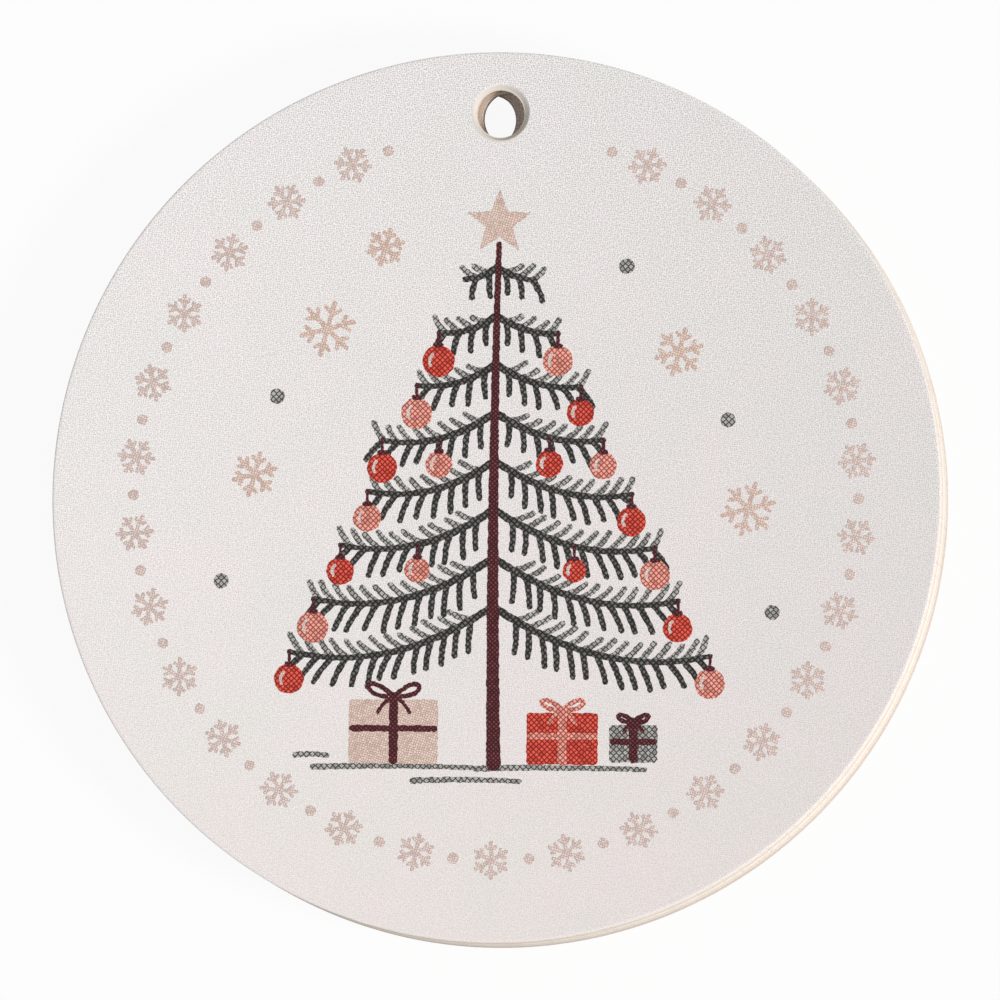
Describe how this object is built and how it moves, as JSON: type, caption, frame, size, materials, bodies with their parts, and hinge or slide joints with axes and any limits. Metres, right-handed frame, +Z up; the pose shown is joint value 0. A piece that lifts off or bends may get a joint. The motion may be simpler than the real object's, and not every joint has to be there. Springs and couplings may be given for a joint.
{
  "type": "gift tag",
  "caption": "Pack of loose round gift tags: thick printed boards with rolled die-cut edges, each with a punched string hole near its rim.",
  "frame": {"origin": "middle of the underside of the lowest tag, where the pack lies on a table", "axes": "+Z up through the pack, out of the printed faces; +Y towards the string holes"},
  "size_m": [0.05, 0.05, 0.0047],
  "materials": {
    "face_paper": "matte",
    "core_board": "matte",
    "back_paper": "matte"
  },
  "bodies": {
    "rear_tag": {"rear_tag_face_sheet": "face_paper", "rear_tag_core_board": "core_board", "rear_tag_back_sheet": "back_paper"},
    "middle_tag": {"middle_tag_face_sheet": "face_paper", "middle_tag_core_board": "core_board", "middle_tag_back_sheet": "back_paper"},
    "front_tag": {"front_tag_face_sheet": "face_paper", "front_tag_core_board": "core_board", "front_tag_back_sheet": "back_paper"}
  },
  "joints": [
    {"name": "middle_tag_lift", "type": "slide", "parent": "rear_tag", "child": "middle_tag", "axis": [0, 0, 1], "range_m": [0, 0.05]},
    {"name": "front_tag_lift", "type": "slide", "parent": "middle_tag", "child": "front_tag", "axis": [0, 0, 1], "range_m": [0, 0.05]}
  ]
}
